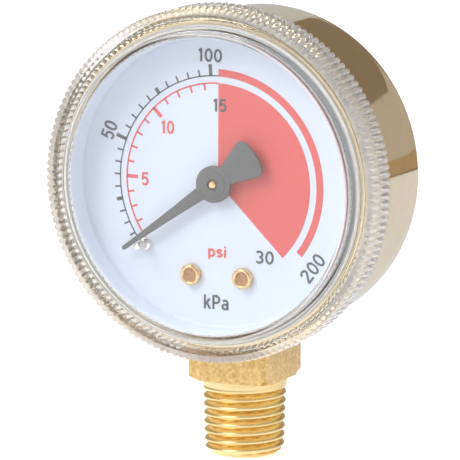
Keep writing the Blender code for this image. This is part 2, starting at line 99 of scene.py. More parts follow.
class Surface:
    """A Principled material with helpers that add procedural colour, roughness and relief."""

    def __init__(self, name, colour, roughness, metallic=0.0):
        self.material = bpy.data.materials.new(name)
        self.material.use_nodes = True
        self.tree = self.material.node_tree
        self.shader = self.tree.nodes["Principled BSDF"]
        self.colour = colour
        self.shader.inputs["Base Color"].default_value = (*colour, 1)
        self.shader.inputs["Roughness"].default_value = roughness
        self.shader.inputs["Metallic"].default_value = metallic
        self.relief = None

    def add(self, kind, **settings):
        node = self.tree.nodes.new(kind)
        for key, value in settings.items():
            setattr(node, key, value)
        return node

    def link(self, output, socket):
        self.tree.links.new(output, socket)
        return self

    def noise(self, scale, detail, stretch=(1, 1, 1)):
        """Noise in object space; scale counts features a metre, and a stretch below 1 lengthens them."""
        place = self.add("ShaderNodeTexCoord")
        mapping = self.add("ShaderNodeMapping")
        mapping.inputs["Scale"].default_value = stretch
        texture = self.add("ShaderNodeTexNoise")
        texture.inputs["Scale"].default_value = scale
        texture.inputs["Detail"].default_value = detail
        self.link(place.outputs["Object"], mapping.inputs["Vector"])
        self.link(mapping.outputs["Vector"], texture.inputs["Vector"])
        return texture.outputs["Fac"]

    def spread(self, value, low, high):
        """Maps the usual span of a noise value to a range."""
        node = self.add("ShaderNodeMapRange")
        node.inputs["From Min"].default_value = NOISE_LOW
        node.inputs["From Max"].default_value = NOISE_HIGH
        node.inputs["To Min"].default_value = low
        node.inputs["To Max"].default_value = high
        self.link(value, node.inputs["Value"])
        return node.outputs["Result"]

    def tint(self, value, other):
        """Varies the colour towards another colour by a value from 0 to 1."""
        mix = self.add("ShaderNodeMix", data_type="RGBA")
        source = self.shader.inputs["Base Color"]
        if source.is_linked:
            self.link(source.links[0].from_socket, mix.inputs[6])
        else:
            mix.inputs[6].default_value = (*self.colour, 1)
        mix.inputs[7].default_value = (*other, 1)
        self.link(value, mix.inputs[0])
        return self.link(mix.outputs[2], source)

    def rough(self, value):
        return self.link(value, self.shader.inputs["Roughness"])

    def bump(self, value, height, strength=0.5):
        """Fine relief; height is in millimetres."""
        node = self.add("ShaderNodeBump")
        node.inputs["Strength"].default_value = strength
        node.inputs["Distance"].default_value = height * MM
        self.link(value, node.inputs["Height"])
        if self.relief:
            self.link(self.relief, node.inputs["Normal"])
        self.relief = node.outputs["Normal"]
        return self.link(self.relief, self.shader.inputs["Normal"])


def machined_brass(name, colour, dark, roughness=0.3, grain=(1, 1, 1), scale=4600):
    made = Surface(name, colour, roughness, 1.0)
    fine = made.noise(scale, 3, grain)
    broad = made.noise(scale / 2.6, 4, grain)
    made.tint(made.spread(broad, 0.0, 0.9), dark)
    made.rough(made.spread(fine, roughness - 0.08, roughness + 0.14))
    return made.bump(fine, 0.02, 0.35)


def make_materials():
    looks = {}

    polished = Surface("polished_brass", (0.88, 0.76, 0.52), 0.05, 1.0)
    haze = polished.noise(260, 4)
    polished.tint(polished.spread(haze, 0.0, 0.35), (0.78, 0.64, 0.40))
    polished.rough(polished.spread(polished.noise(900, 5), 0.035, 0.10))
    looks["polished_brass"] = polished.bump(polished.noise(3000, 3, (1, 0.1, 1)), 0.002, 0.25)

    looks["satin_brass"] = machined_brass("satin_brass", (0.99, 0.86, 0.66), (0.95, 0.78, 0.54), 0.42)
    looks["socket_brass"] = machined_brass("socket_brass", (0.90, 0.64, 0.30), (0.58, 0.36, 0.13), 0.30)
    looks["turned_brass"] = machined_brass("turned_brass", (0.95, 0.76, 0.40), (0.80, 0.57, 0.23), 0.29,
                                           (0.04, 0.04, 1), 4200)
    looks["neck_brass"] = machined_brass("neck_brass", (0.93, 0.74, 0.41), (0.80, 0.57, 0.27), 0.33,
                                         (0.04, 0.04, 1))
    looks["inner_brass"] = machined_brass("inner_brass", (0.80, 0.58, 0.26), (0.55, 0.36, 0.14), 0.34,
                                          (1, 0.2, 1), 5000)

    plated = Surface("plated_brass", (0.93, 0.66, 0.34), 0.2, 1.0)
    plated.tint(plated.spread(plated.noise(900, 4), 0.0, 0.6), (0.75, 0.43, 0.20))
    plated.rough(plated.spread(plated.noise(2500, 4), 0.12, 0.34))
    looks["plated_brass"] = plated.bump(plated.noise(2600, 4), 0.05, 0.6)

    # Darker, rougher mottled brass for the screws' hex recesses, as painted shade in the recesses.
    recess = Surface("screw_recess_shade", (0.62, 0.36, 0.20), 0.45, 1.0)
    recess.tint(recess.spread(recess.noise(3600, 3), 0.0, 0.9), (0.34, 0.18, 0.10))
    recess.rough(recess.spread(recess.noise(2500, 4), 0.35, 0.6))
    looks["screw_recess_shade"] = recess.bump(recess.noise(3600, 3), 0.25, 1.0)

    steel = Surface("machined_steel", (0.60, 0.60, 0.61), 0.3, 1.0)
    steel.tint(steel.spread(steel.noise(700, 4), 0.0, 0.6), (0.38, 0.38, 0.40))
    steel.rough(steel.spread(steel.noise(3500, 3, (1, 0.1, 1)), 0.22, 0.42))
    looks["steel"] = steel.bump(steel.noise(4200, 3, (1, 0.1, 1)), 0.01, 0.4)

    nickel = Surface("nickel", (0.86, 0.82, 0.75), 0.12, 1.0)
    nickel.tint(nickel.spread(nickel.noise(1500, 3), 0.0, 0.4), (0.66, 0.62, 0.56))
    looks["nickel"] = nickel.rough(nickel.spread(nickel.noise(2600, 3), 0.08, 0.24))

    bronze = Surface("spring_bronze", (0.72, 0.44, 0.22), 0.3, 1.0)
    bronze.tint(bronze.spread(bronze.noise(300, 5), 0.0, 0.7), (0.50, 0.28, 0.15))
    looks["spring_bronze"] = bronze.rough(bronze.spread(bronze.noise(1800, 3), 0.22, 0.45))

    # Both enamels glow, which is painted light. The dial's faint glow lifts the shade near its edge. The
    # rim's copy glows twice as much, as painted light on the rim's walls, which lie in shade.
    for name, glow in (("dial_enamel", 0.08), ("rim_enamel_lit", 0.17)):
        enamel = Surface(name, (0.70, 0.76, 0.865), 0.32)
        enamel.shader.inputs["Emission Color"].default_value = (0.80, 0.85, 0.93, 1)
        enamel.shader.inputs["Emission Strength"].default_value = glow
        enamel.tint(enamel.spread(enamel.noise(60, 3), 0.0, 0.35), (0.67, 0.735, 0.845))
        enamel.rough(enamel.spread(enamel.noise(1500, 3), 0.28, 0.42))
        looks[name] = enamel.bump(enamel.noise(2400, 2), 0.006, 0.3)

    for name, colour, worn in (("black_ink", (0.085, 0.088, 0.095), (0.12, 0.12, 0.13)),
                               ("red_ink", (0.80, 0.115, 0.105), (0.74, 0.15, 0.14))):
        ink = Surface(name, colour, 0.4)
        ink.tint(ink.spread(ink.noise(2600, 3), 0.0, 0.7), worn)
        ink.rough(ink.spread(ink.noise(3200, 3), 0.32, 0.5))
        looks[name] = ink.bump(ink.noise(4200, 2), 0.004, 0.4)

    paint = Surface("pointer_paint", (0.135, 0.135, 0.137), 0.42)
    paint.tint(paint.spread(paint.noise(1400, 4), 0.0, 0.5), (0.17, 0.17, 0.17))
    paint.rough(paint.spread(paint.noise(3200, 3), 0.34, 0.52))
    looks["pointer_paint"] = paint.bump(paint.noise(5200, 3), 0.01, 0.4)

    rubber = Surface("plug_rubber", (0.03, 0.03, 0.032), 0.6)
    rubber.tint(rubber.spread(rubber.noise(700, 4), 0.0, 0.6), (0.055, 0.055, 0.055))
    rubber.rough(rubber.spread(rubber.noise(2600, 3), 0.5, 0.75))
    looks["plug_rubber"] = rubber.bump(rubber.noise(4200, 3), 0.02, 0.5)

    seal = Surface("seal_rubber", (0.86, 0.84, 0.79), 0.4)
    seal.tint(seal.spread(seal.noise(600, 4), 0.0, 0.6), (0.80, 0.77, 0.70))
    looks["seal_rubber"] = seal.rough(seal.spread(seal.noise(2600, 3), 0.4, 0.65))

    clear = Surface("clear_plastic", (0.985, 0.985, 0.985), 0.0)
    clear.shader.inputs["Transmission Weight"].default_value = 1.0
    clear.shader.inputs["IOR"].default_value = 1.52
    clear.rough(clear.spread(clear.noise(900, 4), 0.0, 0.03))
    clear.bump(clear.noise(140, 2), 0.01, 0.15)
    through = clear.add("ShaderNodeBsdfTransparent")
    through.inputs["Color"].default_value = (0.95, 0.95, 0.95, 1)
    ray = clear.add("ShaderNodeLightPath")
    mix = clear.add("ShaderNodeMixShader")
    clear.link(ray.outputs["Is Shadow Ray"], mix.inputs["Fac"])
    clear.link(clear.shader.outputs["BSDF"], mix.inputs[1])
    clear.link(through.outputs["BSDF"], mix.inputs[2])
    clear.link(mix.outputs["Shader"], clear.tree.nodes["Material Output"].inputs["Surface"])
    looks["clear_plastic"] = clear

    milky = Surface("frosted_plastic", (0.965, 0.925, 0.89), 0.1)
    milky.shader.inputs["Transmission Weight"].default_value = 0.68
    milky.shader.inputs["IOR"].default_value = 1.45
    milky.rough(milky.spread(milky.noise(900, 4), 0.015, 0.05))
    looks["frosted_plastic"] = milky.bump(milky.noise(1800, 3), 0.01, 0.1)
    return {name: made.material for name, made in looks.items()}


LOOKS = make_materials()


# Mesh helpers

def piece(name, shape, look, body, replaces=(), sharp=35.0):
    """Makes an object from a filled bmesh, shades it, and ties it to its body, slot and CAD nodes."""
    bmesh.ops.remove_doubles(shape, verts=shape.verts, dist=1e-8)
    bmesh.ops.recalc_face_normals(shape, faces=shape.faces)
    mesh = bpy.data.meshes.new(name)
    shape.to_mesh(mesh)
    shape.free()
    mesh.shade_smooth()
    mesh.set_sharp_from_angle(angle=math.radians(sharp))
    mesh.materials.append(LOOKS[look])
    made = bpy.data.objects.new(name, mesh)
    bpy.context.scene.collection.objects.link(made)
    if body:
        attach(made, body)
    if replaces:
        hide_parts(*replaces)
    return made


def bridge(shape, rings):
    """Faces between rings of vertices, with both ends filled."""
    count = len(rings[0])
    for first, second in zip(rings, rings[1:]):
        for index in range(count):
            after = (index + 1) % count
            shape.faces.new((first[index], first[after], second[after], second[index]))
    shape.faces.new(rings[0])
    shape.faces.new(rings[-1])


def lathe(shape, profile, place, steps, wave=None):
    """Turns a closed or axis-to-axis profile of (radius, height[, wave share]) about an axis.

    place(x, y, height) gives the point in the row frame. wave(turn) adds to the radius, times the share.
    """
    rings = []
    for radius, height, *share in profile:
        if radius == 0:
            rings.append([shape.verts.new(place(0, 0, height))])
            continue
        ring = []
        for step in range(steps):
            turn = 2 * math.pi * step / steps
            reach = radius + (share[0] * wave(turn) if share and wave else 0)
            ring.append(shape.verts.new(place(reach * math.cos(turn), reach * math.sin(turn), height)))
        rings.append(ring)
    on_axis = len(rings[0]) == 1
    pairs = list(zip(rings, rings[1:])) + ([] if on_axis else [(rings[-1], rings[0])])
    for first, second in pairs:
        for index in range(steps):
            after = (index + 1) % steps
            corners = [first[index % len(first)], first[after % len(first)],
                       second[after % len(second)], second[index % len(second)]]
            distinct = list(dict.fromkeys(corners))
            if len(distinct) > 2:
                shape.faces.new(distinct)


def about_dial(x, y, front):
    return on_gauge(x, front, y)


def about_stem(x, y, height):
    return Vector((x, y, height)) * MM


def offset(place, x, up):
    """The same placing, moved to an axis at (x, up) from the dial's centre."""
    shift = Vector((x * MM, 0, up * MM))
    return lambda a, b, c: place(a, b, c) + shift


def rounded(corners, steps=5):
    """A profile with some corners rounded: corners are (radius, height[, fillet[, share]])."""
    points = []
    for index, (radius, height, *rest) in enumerate(corners):
        fillet = rest[0] if rest else 0
        share = rest[1] if len(rest) > 1 else 0
        if not fillet or index in (0, len(corners) - 1):
            points.append((radius, height, share))
            continue
        here = Vector((radius, height))
        before = (Vector(corners[index - 1][:2]) - here).normalized()
        after = (Vector(corners[index + 1][:2]) - here).normalized()
        half = before.angle(after) / 2
        reach = fillet / math.tan(half)
        start, end = here + before * reach, here + after * reach
        centre = here + (before + after).normalized() * (fillet / math.sin(half))
        a, b = start - centre, end - centre
        full = a.angle(b)
        for step in range(steps + 1):
            turn = full * step / steps
            mix = (a * math.sin(full - turn) + b * math.sin(turn)) / math.sin(full)
            point = centre + mix
            points.append((point.x, point.y, share))
    return points


def plate(shape, outline, low, high, edge):
    """A flat outline of (x, up) points between two fronts, its front edge eased inwards by edge."""
    count = len(outline)

    def eased(amount):
        moved = []
        for index in range(count):
            before, here, after = (Vector(outline[(index + k) % count]) for k in (-1, 0, 1))
            one, two = (here - before).normalized(), (after - here).normalized()
            normal = Vector((-(one + two).y, (one + two).x)).normalized()
            moved.append(here + normal * amount)
        return moved
    levels = [(0, low), (0, high - edge * 0.7), (edge * 0.35, high - edge * 0.2), (edge, high)]
    rings = [[shape.verts.new(about_dial(p.x, p.y, level)) for p in eased(amount)]
             for amount, level in levels]
    bridge(shape, rings)


# Case

def make_case():
    shape = bmesh.new()
    wall, mouth, lip, taper, bends = 0.6, 24.97, 0.85, 0.14, 8
    inner, lip_back = CASE_R - wall, CASE_FRONT - lip
    side = [(CASE_R - taper * (1 - k / bends) ** 2, CASE_BACK + 1.7 + 3.2 * k / bends)
            for k in range(bends + 1)]
    profile = rounded([
        (0, CASE_BACK), (CASE_R - taper, CASE_BACK, 1.5), *side,
        (CASE_R, CASE_FRONT, 0.28), (mouth, CASE_FRONT, 0.4), (mouth, lip_back, 0.2), (inner, lip_back, 0.2),
        (inner, CASE_BACK + wall, 1.2), (0, CASE_BACK + wall)], 10)
    lathe(shape, profile, about_dial, 256)
    case = piece("case_shell", shape, "polished_brass", "housing", ["case"], 30)
    case.data.materials.append(LOOKS["satin_brass"])
    for face in case.data.polygons:
        reach = math.hypot(face.center.x, face.center.z - DIAL_UP * MM) / MM
        if reach < CASE_R - 0.5 and -face.center.y / MM > CASE_BACK + 0.5:
            face.material_index = 1
    cutter_shape = bmesh.new()
    bmesh.ops.create_cube(cutter_shape, size=1)
    opening = 2 * NECK + 0.3
    bmesh.ops.scale(cutter_shape, vec=(opening * MM, opening * MM, 12 * MM), verts=cutter_shape.verts)
    bmesh.ops.translate(cutter_shape, vec=(0, 0, 22 * MM), verts=cutter_shape.verts)
    cut_through(case, cutter_shape)


def cut_through(item, cutter_shape):
    """Cuts a shape out of a piece for good and removes the cutter."""
    mesh = bpy.data.meshes.new("cutter")
    cutter_shape.to_mesh(mesh)
    cutter_shape.free()
    cutter = bpy.data.objects.new("cutter", mesh)
    bpy.context.scene.collection.objects.link(cutter)
    modifier = item.modifiers.new("Opening", "BOOLEAN")
    modifier.operation, modifier.solver, modifier.object = "DIFFERENCE", "EXACT", cutter
    graph = bpy.context.evaluated_depsgraph_get()
    cut = bpy.data.meshes.new_from_object(item.evaluated_get(graph))
    item.modifiers.remove(modifier)
    item.data = cut
    bpy.data.objects.remove(cutter)


def make_case_thread():
    """The quick thread that the lens screws on to: a helical ridge round the case's front."""
    shape = bmesh.new()
    lead, turns, steps = 2.0, 1.5, 180
    low, rings = CASE_FRONT - 0.5 - lead * turns, []
    for step in range(int(steps * turns) + 1):
        share = step / steps
        fade = min(1.0, min(share, turns - share) / 0.2)
        x, y = polar(360 * share, 1)
        level, crest = low + lead * share, CASE_R - 0.1 + 1.0 * fade
        section = [(CASE_R - 0.25, 0.34), (crest, 0.18), (crest, -0.18), (CASE_R - 0.25, -0.34)]
        rings.append([shape.verts.new(about_dial(x * r, y * r, level + h)) for r, h in section])
    bridge(shape, rings)
    piece("case_ridge", shape, "polished_brass", "housing")


# Lens

FROSTED_FROM = 27.45


def make_lens():
    """One clear moulding: raised window, grooved flange and a skirt with straight rounded teeth."""
    shape = bmesh.new()
    teeth, steps_a_tooth, deep = 150, 8, 0.54
    valley, flange, groove = KNURL_R - deep, 15.0, 14.78
    window, window_back, hollow, bore, shoulder = 25.0, 15.2, 24.3, 27.2, 13.4

    def wave(turn):
        return deep * abs(math.sin(teeth * turn / 2)) ** 0.65 * 0.99
    profile = rounded([
        (0, LENS_FRONT), (window, LENS_FRONT, 0.4), (window, flange, 0.25), (25.7, flange, 0.08),
        (25.85, groove, 0.08), (26.75, groove, 0.08), (26.9, flange, 0.08), (valley - 0.75, flange, 0.1),
        (valley - 0.3, 14.86, 0, 0.55), (valley - 0.05, 14.6, 0, 0.95), (valley, 14.2, 0, 1),
        (valley, LENS_BACK + 0.2, 0, 1), (valley - 0.1, LENS_BACK, 0, 0.8), (bore, LENS_BACK),
        (bore, shoulder, 0.3), (hollow, shoulder, 0.15), (hollow, window_back, 0.3), (0, window_back)], 6)
    lathe(shape, profile, about_dial, teeth * steps_a_tooth, wave)
    made = piece("lens_moulding", shape, "clear_plastic", "lens", ["lens"], 50)
    made.data.materials.append(LOOKS["frosted_plastic"])
    for face in made.data.polygons:
        reach = math.hypot(face.center.x, face.center.z - DIAL_UP * MM) / MM
        front = -face.center.y / MM
        on_wall = window - 0.45 < reach < window + 0.1 and front > flange + 0.1
        if reach > FROSTED_FROM or on_wall:
            face.material_index = 1


def make_gasket():
    low, high = node_box("lens_gasket")
    outer = high.z - DIAL_UP
    shape = bmesh.new()
    inner = outer - 0.8
    profile = [(outer, -low.y), (outer, -high.y), (inner, -high.y), (inner, -low.y)]
    lathe(shape, profile, about_dial, 192)
    piece("lens_seal_ring", shape, "seal_rubber", "lens_seal", ["lens_gasket"])


# Dial and its printing

PRINT_LOW, PRINT_HIGH = 0.005, 0.03
LETTER_LIFT, STROKE_LIFT = 0.04, 0.006
ZERO_ANGLE, PSI_STEP, KPA_IN_PSI = 225, 9, 6.894757


def ring_sector(shape, inner, outer, start, end):
    """A thin printed patch between two radii and two angles, given in degrees anticlockwise from +X."""
    steps = max(2, int(abs(end - start) / 1.5))
    angles = [start + (end - start) * step / steps for step in range(steps + 1)]
    outline = [polar(angle, outer) for angle in angles]
    outline += [polar(angle, inner) for angle in reversed(angles)] if inner else [(0, 0)]
    rings = [[shape.verts.new(about_dial(x, y, DIAL_FRONT + level)) for x, y in outline]
             for level in (PRINT_LOW, PRINT_HIGH)]
    bridge(shape, rings)


def tick(shape, angle, inner, outer, width):
    along, across = Vector(polar(angle, 1)), Vector(polar(angle + 90, 1))
    outline = [along * inner - across * width / 2, along * outer - across * width / 2,
               along * outer + across * width / 2, along * inner + across * width / 2]
    rings = [[shape.verts.new(about_dial(p.x, p.y, DIAL_FRONT + level)) for p in outline]
             for level in (PRINT_LOW, PRINT_HIGH)]
    bridge(shape, rings)


def psi_angle(value):
    return ZERO_ANGLE - PSI_STEP * value


def kpa_angle(value):
    return ZERO_ANGLE - PSI_STEP * value / KPA_IN_PSI


def make_dial():
    shape = bmesh.new()
    rim = DIAL_R - 0.35
    profile = rounded([(0, DIAL_FRONT), (rim, DIAL_FRONT, 0.7), (rim, RIM_FRONT, 0.12),
                       (DIAL_R, RIM_FRONT, 0.12), (DIAL_R, DIAL_BACK, 0.4), (0, DIAL_BACK)], 6)
    lathe(shape, profile, about_dial, 192)
    made = piece("dial_plate", shape, "dial_enamel", "housing", ["dial"], 30)
    # The upturned rim takes the brighter glowing enamel, as painted light on the rim's shaded walls.
    made.data.materials.append(LOOKS["rim_enamel_lit"])
    for face in made.data.polygons:
        if -face.center.y / MM > DIAL_FRONT + 0.45:
            face.material_index = 1


def make_scales():
    kpa, psi, danger = bmesh.new(), bmesh.new(), bmesh.new()
    ring_sector(kpa, 17.19, 17.41, psi_angle(15), 217.5)
    for value in range(5, 101, 5):
        major, medium = value % 50 == 0, value % 25 == 0
        width = 0.58 if major or medium else 0.29
        tick(kpa, kpa_angle(value), 17.2, 19.15 if major else 18.35, width)
    piece("scale_kpa", kpa, "black_ink", "housing")
    ring_sector(psi, 15.97, 16.24, psi_angle(15), 217.5)
    for value in range(1, 15):
        major = value % 5 == 0
        tick(psi, psi_angle(value), 14.15 if major else 15.0, 16.1, 0.6 if major else 0.32)
    piece("scale_psi", psi, "red_ink", "housing")
    ring_sector(danger, 0.6, 16.1, psi_angle(30), psi_angle(15))
    ring_sector(danger, 17.2, 18.4, kpa_angle(200) - 0.6, psi_angle(15))
    piece("danger_zone", danger, "red_ink", "housing")


def bow(x, up, across, high, start, end, steps=12):
    """Points along part of an ellipse, between two angles in degrees."""
    return [(x + across * math.cos(math.radians(start + (end - start) * k / steps)),
             up + high * math.sin(math.radians(start + (end - start) * k / steps))) for k in range(steps + 1)]


# Each glyph is its width and its strokes, on a cap height of 1; a stroke that ends where it starts is a loop

GLYPHS = {
    "0": (0.56, [bow(0.28, 0.5, 0.21, 0.43, 90, 450, 28)]),
    "1": (0.34, [[(0.02, 0.80), (0.12, 0.85), (0.2, 0.97)], [(0.2, 1.0), (0.2, 0.0)]]),
    "2": (0.56, [[*bow(0.27, 0.72, 0.2, 0.21, 175, -25), (0.05, 0.08)], [(0.03, 0.07), (0.54, 0.07)]]),
    "3": (0.54, [bow(0.25, 0.72, 0.19, 0.21, 150, -90), bow(0.25, 0.29, 0.21, 0.22, 90, -150)]),
    "5": (0.54, [[(0.49, 0.93), (0.12, 0.93), (0.09, 0.52), *bow(0.26, 0.34, 0.21, 0.27, 125, -145)]]),
    "p": (0.52, [[(0.09, 0.72), (0.09, -0.22)], bow(0.27, 0.36, 0.18, 0.29, 90, 450, 24)]),
    "s": (0.46, [[(0.40, 0.58), *bow(0.23, 0.515, 0.155, 0.135, 40, 230, 10),
                  *bow(0.23, 0.21, 0.17, 0.14, 60, -150, 12)]]),
    "i": (0.18, [[(0.09, 0.72), (0.09, 0.0)], [(0.09, 0.98), (0.09, 0.84)]]),
    "k": (0.50, [[(0.09, 1.0), (0.09, 0.0)], [(0.44, 0.72), (0.13, 0.34)], [(0.22, 0.45), (0.46, 0.0)]]),
    "P": (0.58, [[(0.10, 0.0), (0.10, 0.93), (0.30, 0.93), *bow(0.30, 0.69, 0.21, 0.24, 90, -90, 10),
                  (0.10, 0.45)]]),
    "a": (0.52, [[*bow(0.25, 0.52, 0.17, 0.15, 150, 0, 8), (0.42, 0.02)],
                 bow(0.24, 0.22, 0.17, 0.17, 0, 360, 20)]),
}


def stroke_outline(points, width):
    """Left and right edges of a line of even width through points."""
    points = [Vector(point) for point in points]
    closed = (points[0] - points[-1]).length < 1e-6
    if closed:
        points = points[:-1]
    count, left, right = len(points), [], []
    for index, here in enumerate(points):
        before = points[index - 1] if index or closed else None
        after = points[(index + 1) % count] if index + 1 < count or closed else None
        one = (here - before).normalized() if before else (after - here).normalized()
        two = (after - here).normalized() if after else one
        bend = (one + two).normalized()
        reach = width / 2 / max(0.5, bend.dot(one))
        side = Vector((-bend.y, bend.x)) * reach
        left.append(here + side)
        right.append(here - side)
    return left, right, closed


def lettering(name, words, x, up, height, width, look, turn=0.0, stroke=0.36):
    """Printed words centred on a place on the dial; height is the cap height and width the whole width."""
    gap = 0.09
    total = sum(GLYPHS[letter][0] for letter in words) + gap * (len(words) - 1)
    squeeze = (width - stroke) / (total - 0.14) / height
    spin, shape, pen = Matrix.Rotation(math.radians(turn), 2), bmesh.new(), 0.0
    for letter in words:
        wide, strokes = GLYPHS[letter]
        for layer, points in enumerate(strokes):
            placed = [((pen + a - total / 2) * height * squeeze, (b - 0.5) * height) for a, b in points]
            left, right, closed = stroke_outline(placed, stroke)
            edges = [[Vector((x, up)) + spin @ point for point in edge] for edge in (left, right)]
            corners = []
            for level in (PRINT_LOW + LETTER_LIFT, PRINT_HIGH + LETTER_LIFT + STROKE_LIFT * layer):
                corners.append([[shape.verts.new(about_dial(p.x, p.y, DIAL_FRONT + level)) for p in edge]
                                for edge in edges])
            (low_left, low_right), (high_left, high_right) = corners
            spans = len(placed) - 1
            for k in range(spans):
                n = (k + 1) % len(low_left)
                shape.faces.new((high_left[k], high_left[n], high_right[n], high_right[k]))
                shape.faces.new((low_left[k], low_right[k], low_right[n], low_left[n]))
                shape.faces.new((low_left[k], low_left[n], high_left[n], high_left[k]))
                shape.faces.new((low_right[k], high_right[k], high_right[n], low_right[n]))
            if not closed:
                for k in (0, -1):
                    shape.faces.new((low_left[k], high_left[k], high_right[k], low_right[k]))
        pen += wide + gap
    piece(name, shape, look, "housing")


def make_numerals():
    for name, words, x, up, height, width, look, turn in (
            ("kpa_50", "50", *polar(159.3, 20.6), 2.35, 2.9, "black_ink", 70),
            ("kpa_100", "100", -1.46, 20.55, 2.15, 4.15, "black_ink", 0),
            ("kpa_200", "200", *polar(-37.2, 20.9), 2.35, 4.95, "black_ink", 53),
            ("psi_5", "5", -12.9, -0.29, 2.1, 1.3, "red_ink", 0),
            ("psi_10", "10", -8.9, 8.4, 2.1, 2.3, "red_ink", 0),
            ("psi_15", "15", 0.28, 12.55, 2.1, 2.3, "black_ink", 0),
            ("psi_30", "30", 8.25, -11.54, 2.1, 3.2, "black_ink", 0),
            ("unit_psi", "psi", -0.1, -11.2, 1.85, 3.25, "red_ink", 0),
            ("unit_kpa", "kPa", -0.22, -19.5, 2.3, 4.5, "black_ink", 0)):
        lettering(name, words, x, up, height, width, look, turn)


# Pointer, stop pin and dial screws

def make_pointer():
    tip, tail = 216.0, 36.0
    along, across = Vector(polar(tip, 1)), Vector(polar(tip + 90, 1))
    rows = [(-0.5, 1.05), (3.0, 1.1), (7.7, 0.82), (12.0, 0.62), (17.0, 0.40), (19.45, 0.36)]
    nose = [along * 19.45 + along * 0.36 * math.sin(turn) + across * 0.36 * math.cos(turn)
            for turn in (math.pi * step / 8 for step in range(1, 8))]
    left = [along * reach + across * half for reach, half in rows]
    right = [along * reach - across * half for reach, half in reversed(rows)]
    low, high = 11.9, 12.3
    shape = bmesh.new()
    needle = left + nose + right
    plate(shape, list(reversed(needle)), low, high, edge=0.1)
    spread, reach, fillet = 24.0, 9.1, 1.25
    corner = reach - fillet
    lean = math.degrees(math.asin(fillet / corner))
    outline = [Vector(polar(tail - 90, 0.45)) - Vector(polar(tail, 0.6))]
    for side in (-1, 1):
        centre = Vector(polar(tail + side * (spread - lean), corner))
        first = tail - spread - 90 if side < 0 else tail + spread - lean
        last = tail - spread + lean if side < 0 else tail + spread + 90
        outline += [centre + Vector(polar(first + (last - first) * step / 7, fillet)) for step in range(8)]
        if side < 0:
            middle = [tail + (spread - lean) * k / 4 for k in (-3, -2, -1, 0, 1, 2, 3)]
            outline += [Vector(polar(angle, reach)) for angle in middle]
    outline.append(Vector(polar(tail + 90, 0.45)) - Vector(polar(tail, 0.6)))
    plate(shape, outline, low, high, edge=0.16)
    hub = rounded([(0, 12.62), (0.95, 12.62, 0.06), (1.05, 12.5, 0.05), (2.1, 12.5, 0.1), (2.3, 12.36, 0.1),
                   (3.0, 12.36, 0.22), (3.0, 11.35, 0.2), (0, 11.35)], 4)
    bore = 0.78
    hub = [(bore, 12.5, 0), (bore + 0.1, 12.62, 0)] + hub[1:-1] + [(bore, 11.35, 0)]
    lathe(shape, hub, about_dial, 96)
    piece("pointer_needle", shape, "pointer_paint", "pointer_shaft", ["pointer"], 40)


def make_stop_pin():
    x, up = (pin_low.x + pin_high.x) / 2, (pin_low.z + pin_high.z) / 2 - DIAL_UP
    top = -pin_low.y
    shape = bmesh.new()
    pin, collar, seat, foot = 0.6, 1.05, DIAL_FRONT + 0.05, 9.2
    profile = rounded([(0, top), (pin, top, 0.3), (pin, 10.95, 0.15), (collar, 10.8, 0.2),
                       (collar, seat, 0.1), (pin, seat), (pin, foot), (0, foot)], 5)
    lathe(shape, profile, offset(about_dial, x, up), 48)
    piece("stop_pin_turned", shape, "nickel", "housing", ["stop_pin"], 40)


def hexagon(turn, half_flat, rounding):
    """Radius of a rounded hexagon at a turn: a blend of the flats and a circle."""
    sixth = math.pi / 3
    local = (turn + math.pi / 6) % sixth - math.pi / 6
    return (1 - rounding) * half_flat / math.cos(local) + rounding * half_flat * 1.06


def make_dial_screws():
    for side in ("left", "right"):
        low, high = node_box("dial_screw_" + side)
        x, up = (low.x + high.x) / 2, (low.z + high.z) / 2 - DIAL_UP
        top, seat, half, recess = -low.y, DIAL_FRONT + 0.06, 1.64, 0.6
        shape = bmesh.new()
        levels = [(0.96, seat), (1.0, seat + 0.1), (1.0, top - 0.5), (0.97, top - 0.26), (0.9, top - 0.1),
                  (0.8, top - 0.02), (0.7, top - 0.06), (0.62, top - 0.2), (0.59, top - 0.36),
                  (0.45, top - 0.42), (0.28, top - 0.40), (0.1, top - 0.42)]
        rings = []
        for scale, front in levels:
            ring = []
            for step in range(72):
                turn = 2 * math.pi * step / 72
                rounding = min(1.0, (1.0 - scale) * 5 + 0.55)
                reach = scale * hexagon(turn + 0.2, half, rounding)
                ring.append(shape.verts.new(offset(about_dial, x, up)(
                    reach * math.cos(turn), reach * math.sin(turn), front)))
            rings.append(ring)
        bridge(shape, rings)
        head = piece(f"dial_screw_head_{side}", shape, "plated_brass", "housing",
                     ["dial_screw_" + side], 50)
        # Faces near the screw's axis take the dark recess brass, as painted shade in the hex recess.
        head.data.materials.append(LOOKS["screw_recess_shade"])
        for face in head.data.polygons:
            away = face.center / MM - Vector((x, 0, DIAL_UP + up))
            if math.hypot(away.x, away.z) < recess * half:
                face.material_index = 1


# Socket: the wrench square and the pipe thread

BLOCK_LOW, BLOCK_HIGH = 12.4, 20.6


def square_ring(shape, half, corner, height, steps=240):
    """A ring of vertices round a square whose corners are turned down to a radius."""
    ring = []
    for step in range(steps):
        turn = 2 * math.pi * step / steps
        local = abs((turn + math.pi / 4) % (math.pi / 2) - math.pi / 4)
        reach = min(half / math.cos(local), corner)
        ring.append(shape.verts.new(about_stem(reach * math.cos(turn), reach * math.sin(turn), height)))
    return ring


